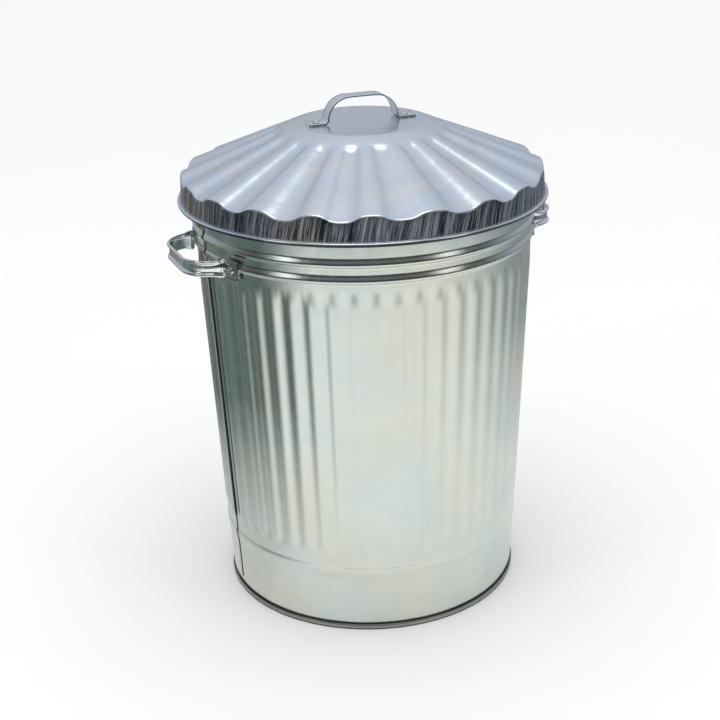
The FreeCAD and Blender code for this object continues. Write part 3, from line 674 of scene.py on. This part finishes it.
def head_profile(radius, rise):
    """Half outline of a round rivet head with a raised ring round its dimple."""
    shape = [(1.0, -0.4), (1.0, 0.20), (0.96, 0.45), (0.84, 0.78), (0.68, 0.97), (0.55, 1.0), (0.46, 0.93),
             (0.38, 0.72), (0.22, 0.66), (0.10, 0.70), (0.01, 0.71)]
    return [(radius * x, rise * z) for x, z in shape]


def rivet_meshes(name, places, tail_depth):
    """Rivet heads and closed ends at (point, outward direction) places, as one mesh."""
    joined = []
    for point, direction in places:
        head, tail = head_profile(RIVET_RADIUS, RIVET_RISE), head_profile(TAIL_RADIUS, TAIL_RISE)
        for profile, along in ((head, 1), (tail, -1)):
            part = turned_mesh(name, profile, RIVET_COLUMNS)
            z_axis = Vector(direction) * along
            x_axis = z_axis.orthogonal().normalized()
            matrix = Matrix((x_axis, z_axis.cross(x_axis), z_axis)).transposed().to_4x4()
            origin = Vector(point) if along > 0 else Vector(point) - Vector(direction) * tail_depth
            part.transform(Matrix.Translation(origin) @ matrix)
            joined.append(part)
    return join_meshes(name, joined)


def join_meshes(name, meshes):
    """One mesh from several."""
    vertices, faces, uv = [], [], []
    for mesh in meshes:
        base = len(vertices)
        vertices += [tuple(v.co) for v in mesh.vertices]
        faces += [tuple(base + index for index in p.vertices) for p in mesh.polygons]
        layer = np.zeros(len(mesh.loops) * 2, np.float32)
        mesh.uv_layers[0].data.foreach_get("uv", layer)
        uv.append(layer)
        bpy.data.meshes.remove(mesh)
    made = bpy.data.meshes.new(name)
    made.from_pydata(vertices, [], faces)
    made.uv_layers.new(name="metres").data.foreach_set("uv", np.concatenate(uv))
    made.polygons.foreach_set("use_smooth", [True] * len(faces))
    return made


for side_name, turn in (("right", 0.0), ("left", math.pi)):
    add_piece(f"{side_name}_grip", side_handle_mesh(f"{side_name}_grip", turn), "can",
              [HANDLE_ZINC, PAD_PAINTED_SHADE, PAINTED_SHADE_EDGE], [f"{side_name}_side_handle"])
grip_places = []
for middle in (0.0, math.pi):
    for side in (1, -1):
        turn = middle + side * RIVET_TURN
        direction = (math.cos(turn), math.sin(turn), 0.0)
        reach = PAD_INSIDE + GRIP_SHEET
        grip_places.append(((direction[0] * reach, direction[1] * reach, GRIP_HEIGHT), direction))
wall_gap = PAD_INSIDE + GRIP_SHEET - wall_radius(GRIP_HEIGHT) + SHEET
grip_rivets = rivet_meshes("grip_rivets", grip_places, wall_gap)
add_piece("grip_rivets", grip_rivets, "can", [RIVET_ZINC], ["side_handle_rivets"])


# ---------------------------------------------------------------------------
# Lid
# ---------------------------------------------------------------------------

CONE_FALL = (LID_HEIGHT - SKIRT_HEIGHT) / (LID_RADIUS - CROWN_RADIUS)


def cone_height(radius):
    """Height of the lid's plain cone over its lower edge."""
    return LID_HEIGHT - CONE_FALL * (radius - CROWN_RADIUS)


def lid_dip(turn, radius):
    """Depth of the lid's slightly uneven flutes, which start behind the crown and deepen to the shoulder."""
    phase = (turn - LID_FLUTE_TURN) * LID_FLUTES + 0.16 * np.sin(3 * turn + 1) + 0.12 * np.sin(7 * turn + 2)
    wave = 0.5 - 0.5 * np.tanh(LID_FLUTE_SHARPNESS * np.cos(phase)) / math.tanh(LID_FLUTE_SHARPNESS)
    wave = wave * (0.93 + 0.07 * np.sin(5 * turn + 0.7))
    start = smooth((radius - LID_FLUTE_START) / (LID_FLUTE_FULL - LID_FLUTE_START))
    return LID_FLUTE_DEEP * wave * start * radius / LID_RADIUS


def lid_mesh():
    """Sheet of the lid from the crown over the shoulder to the rolled edge, and back inside."""
    turns = np.linspace(0, 2 * np.pi, LID_FLUTES * LID_FLUTE_COLUMNS + 1)
    phase = turns[:-1]
    edge = LID_RADIUS - SHOULDER
    radii = [0.0004, 0.03, 0.06, 0.080, 0.0850]
    radii += list(np.linspace(0.0862, 0.0900, 6)) + [0.095, 0.100]
    radii += list(np.linspace(LID_FLUTE_START, LID_FLUTE_FULL, 12)) + list(np.linspace(0.125, edge, 14))
    rows = []
    for radius in radii:
        crease = CREASE_DEEP * math.exp(-((radius - CROWN_RADIUS) / CREASE_WIDTH) ** 2)
        height = min(LID_HEIGHT, cone_height(radius)) - crease
        rows.append((radius + 0 * phase, height - lid_dip(phase, radius)))
    # round shoulder, then the skirt and the rolled edge
    skirt_low = 2 * LID_CURL
    bend_start = math.radians(SHOULDER_START)
    for turn in np.linspace(SHOULDER_START, 0, 8)[1:]:
        bend = math.radians(turn)
        radius = edge + SHOULDER * math.cos(bend) - SHOULDER * math.cos(bend_start)
        fall = SHOULDER * (math.sin(bend_start) - math.sin(bend))
        rows.append((radius + 0 * phase, cone_height(edge) - fall - lid_dip(phase, edge)))
    shoulder_low = rows[-1][1]
    last_radius = rows[-1][0]
    for share in np.linspace(0, 1, 7)[1:]:
        radius = last_radius + (LID_RADIUS - last_radius) * share
        rows.append((radius, shoulder_low + (skirt_low - shoulder_low) * share))
    skirt_rows = (len(radii) + 3, len(rows) - 1)
    ring = LID_RADIUS - SHEET / 2 + LID_CURL - 0.0001
    # from here round the lower part of the curl the faces are painted near-black: painted shade under the lid's
    # rim
    rim_shade_row = len(rows) + 12
    for radius, height in arc_points((ring, LID_CURL), LID_CURL, 160, -165, 27):
        rows.append((radius + 0 * phase, height + 0 * phase))
    rim_shade_end = len(rows)
    # inside of the sheet
    slant = SHEET / math.cos(math.atan(CONE_FALL))
    for share in np.linspace(0, 1, 5):
        radius = LID_RADIUS - SHEET + (last_radius - LID_RADIUS) * share
        rows.append((radius, skirt_low + (shoulder_low - SHEET - skirt_low) * share))
    for radius in radii[::-1]:
        crown = min(LID_HEIGHT - SHEET, cone_height(radius) - slant)
        rows.append((radius + 0 * phase, crown - lid_dip(phase, radius)))
    r = np.array([row[0] for row in rows])
    z = np.array([row[1] for row in rows])
    points = np.stack([r * np.cos(phase), r * np.sin(phase), z + LID_BASE], -1)
    along = np.concatenate([[0], np.cumsum(np.hypot(np.diff(r[:, 0]), np.diff(z[:, 0])))])
    # the sheet's width follows the radius
    width = np.maximum(np.append(r, r[:, :1], axis=1), 0.02)
    uv = np.stack(np.broadcast_arrays(turns * width, along[:, None]), -1)
    mesh = grid_mesh("lid_sheet", points, uv)
    flip_if_inward(mesh, (0, 0, 1))
    columns = len(phase)
    # the skirt gets its own steel; the curl's lower part is painted near-black as painted shade
    paint_faces(mesh, [(skirt_rows[0] * columns, skirt_rows[1] * columns, 1, 1),
                       (rim_shade_row * columns, rim_shade_end * columns, 1, 2)])
    return mesh


add_piece("lid_sheet", lid_mesh(), "lid", [LID_ZINC, SKIRT_STEEL, PAINTED_SHADE_EDGE], ["lid_shell"])


def knob_mesh(name):
    """Strap handle of the lid: a bow on two flat feet."""
    low = KNOB_SHEET / 2
    high = KNOB_RISE - KNOB_SHEET / 2
    side = [(KNOB_HALF + KNOB_FOOT, low), (KNOB_HALF, low), (KNOB_HALF, high)]
    corners = side + [(-x, z) for x, z in reversed(side)]
    points, along = path_with_bends(corners, [KNOB_ROOT, KNOB_CORNER, KNOB_CORNER, KNOB_ROOT], KNOB_STEP)
    flat = flat_section(KNOB_WIDTH, KNOB_SHEET, 0.0009)
    crowned = flat.copy()
    crowned[:, 1] -= np.where(flat[:, 1] > 0, 0.0007, 0.0) * (np.abs(flat[:, 0]) / flat[:, 0].max()) ** 2
    bow_share = smooth((KNOB_HALF + 0.004 - np.abs(points[:, 0])) / 0.008)
    sections = blend_sections(flat, crowned, bow_share)
    middle = 1 - 0.10 * smooth(1 - np.abs(points[:, 0]) / 0.030)
    sections[:, :, 0] *= middle[:, None]
    sections = rounded_tip(sections, along, 0.003)
    cos_t, sin_t = math.cos(LID_TURN), math.sin(LID_TURN)

    def lift(grid):
        x, height, across = grid[..., 0], grid[..., 1], grid[..., 2]
        place = height + LID_BASE + LID_HEIGHT
        return np.stack([x * cos_t - across * sin_t, x * sin_t + across * cos_t, place], -1)

    mesh = strap_mesh(name, points, along, sections, lift)
    # cut edges: the faces between the two sides of the strap, painted near-black as painted shade
    count = sections.shape[1]
    paint_faces(mesh, [(column, (len(points) - 1) * count, count, 1) for column in (1, 2, 7, 8)])
    return mesh


add_piece("lid_grip", knob_mesh("lid_grip"), "lid", [HANDLE_ZINC, PAINTED_SHADE_EDGE], ["lid_handle"])
knob_reach = KNOB_HALF + 0.5 * KNOB_FOOT + 0.001
knob_places = []
for side in (1, -1):
    height = LID_BASE + LID_HEIGHT + KNOB_SHEET
    place = (side * knob_reach * math.cos(LID_TURN), side * knob_reach * math.sin(LID_TURN), height)
    knob_places.append((place, (0.0, 0.0, 1.0)))
knob_rivets = rivet_meshes("lid_grip_rivets", knob_places, KNOB_SHEET + SHEET)
add_piece("lid_grip_rivets", knob_rivets, "lid", [RIVET_ZINC], ["lid_handle_rivets"])


# ---------------------------------------------------------------------------
# Stage: floor, reflection flags, lamps
# ---------------------------------------------------------------------------

FLOOR_SIZE = 30.0
TABLE_HEIGHT = 0.0006
ROOM_RADIUS, ROOM_COLUMNS = 2.6, 96
LAMP_DISTANCE, LAMP_TARGET = 2.0, 0.45


def stage_point(azimuth, distance, height):
    """Place on the stage, at an azimuth from the camera's side."""
    turn = math.radians(azimuth + CAMERA_SIDE)
    return Vector((distance * math.cos(turn), distance * math.sin(turn), height))


def stage_mesh(name, vertices, faces, material):
    """Mesh that belongs to the stage and not to the bin."""
    mesh = bpy.data.meshes.new(name)
    mesh.from_pydata(vertices, [], faces)
    mesh.materials.append(material)
    item = bpy.data.objects.new(name, mesh)
    bpy.context.scene.collection.objects.link(item)
    return item


floor_material, n = new_material("pale_floor")
shade = n.noise(n.add("ShaderNodeTexCoord").outputs["Object"], 2.0, 2.0)
floor_colour = n.blend(shade, (0.93, 0.93, 0.93, 1), (0.95, 0.95, 0.95, 1))
n.output(n.add("ShaderNodeBsdfDiffuse", Color=floor_colour))
floor_corners = [(x * FLOOR_SIZE, y * FLOOR_SIZE, 0) for x, y in ((-1, -1), (1, -1), (1, 1), (-1, 1))]
stage_mesh("floor", floor_corners, [(0, 1, 2, 3)], floor_material)


def only_in_reflections(item):
    """Hide a piece of the room from all but the metal's reflections."""
    item.visible_camera = False
    item.visible_diffuse = False
    item.visible_transmission = False
    item.visible_shadow = False
    item.visible_volume_scatter = False


def room_mesh(name, profile, columns, material):
    """Part of the room round the stage: a (radius, height) profile turned round Z."""
    turns = np.linspace(0, 2 * np.pi, columns, endpoint=False)
    vertices = [(r * math.cos(t), r * math.sin(t), z) for r, z in profile for t in turns]
    faces = []
    for row in range(len(profile) - 1):
        for column in range(columns):
            following = (column + 1) % columns
            faces.append((row * columns + column, row * columns + following,
                          (row + 1) * columns + following, (row + 1) * columns + column))
    only_in_reflections(stage_mesh(name, vertices, faces, material))


def azimuth_nodes(n, position):
    """Azimuth from the camera's side, distance from the bin's axis, and height."""
    parts = n.add("ShaderNodeSeparateXYZ", Vector=position)
    x, y = parts.outputs[0], parts.outputs[1]
    reach = n.math("SQRT", n.math("ADD", n.math("MULTIPLY", x, x), n.math("MULTIPLY", y, y)))
    front = stage_point(0, 1, 0)
    right = stage_point(90, 1, 0)
    towards = n.math("ADD", n.math("MULTIPLY", x, front.x), n.math("MULTIPLY", y, front.y))
    across = n.math("ADD", n.math("MULTIPLY", x, right.x), n.math("MULTIPLY", y, right.y))
    angle = n.math("ARCTAN2", across, towards)
    return angle, reach, parts.outputs[2]


# table round the bin: its pale top ends close by on the left and far off in front and on the right
table_material, n = new_material("table_surroundings")
angle, reach, _ = azimuth_nodes(n, n.add("ShaderNodeTexCoord").outputs["Object"])
degrees = n.math("MULTIPLY", angle, 180 / math.pi)
left_side = n.spread(degrees, -36.0, -64.0)
dark_left = n.math("MULTIPLY", left_side, n.spread(reach, 0.16, 0.76), clamp=True)
right_side = n.spread(degrees, 42.0, 112.0)
grey_right = n.math("MULTIPLY", right_side, n.spread(reach, 0.34, 1.15))
grey_right = n.math("MULTIPLY", grey_right, 0.80, clamp=True)
far = n.spread(reach, 1.64, 1.74)
cover = n.math("MAXIMUM", n.math("MAXIMUM", dark_left, grey_right), far)
around = n.add("ShaderNodeCombineXYZ", X=n.math("MULTIPLY", degrees, 0.075))
stripes = n.spread(n.noise(around.outputs[0], 1.0, 2.0), 0.42, 0.58)
tint = n.blend(stripes, (0.07, 0.085, 0.095, 1), (0.24, 0.275, 0.27, 1))
for start, end, shade_of in ((-72.0, -84.0, (0.13, 0.20, 0.195, 1)), (-102.0, -112.0, (0.11, 0.21, 0.205, 1)),
                             (-124.0, -134.0, (0.32, 0.30, 0.27, 1)), (-137.0, -150.0, (0.09, 0.040, 0.030, 1)),
                             (-154.0, -188.0, (0.44, 0.42, 0.37, 1))):
    zone = n.math("MULTIPLY", n.spread(degrees, start + 3, start - 3), n.spread(degrees, end - 3, end + 3))
    tint = n.blend(zone, tint, shade_of)
tint = n.blend(n.spread(degrees, 20.0, 60.0), tint, (0.17, 0.20, 0.22, 1))
glow = n.add("ShaderNodeEmission", Color=tint, Strength=1.0)
clear = n.add("ShaderNodeBsdfTransparent")
n.output(n.add("ShaderNodeMixShader", i0=cover, i1=clear.outputs[0], i2=glow.outputs[0]))
table_profile = [(0.23, TABLE_HEIGHT), (ROOM_RADIUS, TABLE_HEIGHT)]
room_mesh("table_surroundings", table_profile, ROOM_COLUMNS, table_material)

# walls and ceiling of the room: dim behind the camera, pale and cool above
room_material, n = new_material("room")
angle, reach, height = azimuth_nodes(n, n.add("ShaderNodeTexCoord").outputs["Object"])
towards_camera = n.math("COSINE", angle)
rise = n.math("ARCTAN2", n.math("SUBTRACT", height, 0.55), reach)
front_ramp = n.add("ShaderNodeValToRGB", Fac=n.spread(rise, 0.0, 1.5))
front_ramp.color_ramp.elements[0].color = (0.045, 0.05, 0.055, 1)
front_ramp.color_ramp.elements[1].color = (0.75, 0.80, 0.88, 1)
for place, shade_of in ((0.22, 0.07), (0.48, 0.26), (0.75, 0.50)):
    stop = front_ramp.color_ramp.elements.new(place)
    stop.color = (shade_of * 0.96, shade_of, shade_of * 1.06, 1)
back_ramp = n.add("ShaderNodeValToRGB", Fac=n.spread(rise, 0.0, 1.3))
back_ramp.color_ramp.elements[0].color = (0.40, 0.44, 0.50, 1)
back_ramp.color_ramp.elements[1].color = (0.74, 0.79, 0.87, 1)
room_colour = n.blend(n.spread(towards_camera, 0.25, -0.45), front_ramp.outputs[0], back_ramp.outputs[0])
n.output(n.add("ShaderNodeEmission", Color=room_colour, Strength=1.0))
room_profile = [(ROOM_RADIUS, 0.0), (ROOM_RADIUS, 1.5), (2.3, 2.1), (1.5, 2.5), (0.01, 2.6)]
room_mesh("room", room_profile, ROOM_COLUMNS, room_material)


def softbox(name, azimuth, elevation, size, strength):
    """Area lamp that looks at the middle of the bin. Strength is its brightness as seen in metal."""
    lamp = bpy.data.lights.new(name, "AREA")
    lamp.shape = "RECTANGLE"
    lamp.size, lamp.size_y = size
    lamp.energy = strength * math.pi * size[0] * size[1]
    item = bpy.data.objects.new(name, lamp)
    bpy.context.scene.collection.objects.link(item)
    rise = math.radians(elevation)
    target = Vector((0, 0, LAMP_TARGET))
    place = stage_point(azimuth, LAMP_DISTANCE * math.cos(rise), LAMP_TARGET + LAMP_DISTANCE * math.sin(rise))
    item.location = place
    item.rotation_mode = "QUATERNION"
    item.rotation_quaternion = (target - place).to_track_quat("-Z", "Y")
    item.visible_camera = False


softbox("left_box", -52, 28, (0.45, 1.0), 1.5)
softbox("right_box", 55, 28, (0.45, 1.0), 1.3)
softbox("top_box", 0, 80, (1.3, 0.9), 1.5)
softbox("front_box", 0, 52, (1.4, 0.22), 0.6)

world = bpy.data.worlds.new("soft_light")
world.use_nodes = True
n = Nodes(world.node_tree)
sky = n.add("ShaderNodeBackground", Color=(0.99, 0.995, 1.0, 1), Strength=1.0)
n.add("ShaderNodeOutputWorld", Surface=sky.outputs[0])
bpy.context.scene.world = world


# ---------------------------------------------------------------------------
# Camera
# ---------------------------------------------------------------------------

camera_data = bpy.data.cameras.new("camera")
camera_data.lens = CAMERA_LENS
camera_data.sensor_width = 36.0
camera_data.clip_start, camera_data.clip_end = 0.05, 100.0
camera = bpy.data.objects.new("camera", camera_data)
bpy.context.scene.collection.objects.link(camera)
ahead = Vector((math.sin(CAMERA_HEADING) * math.cos(CAMERA_PITCH),
                math.cos(CAMERA_HEADING) * math.cos(CAMERA_PITCH), -math.sin(CAMERA_PITCH)))
level_right = Vector((math.cos(CAMERA_HEADING), -math.sin(CAMERA_HEADING), 0))
level_up = level_right.cross(ahead)
right = level_right * math.cos(CAMERA_ROLL) + level_up * math.sin(CAMERA_ROLL)
up = level_up * math.cos(CAMERA_ROLL) - level_right * math.sin(CAMERA_ROLL)
camera.matrix_world = Matrix.Translation(CAMERA_PLACE) @ Matrix((right, up, -ahead)).transposed().to_4x4()
bpy.context.scene.camera = camera

bpy.context.scene.view_settings.view_transform = "Standard"

bpy.context.view_layer.update()
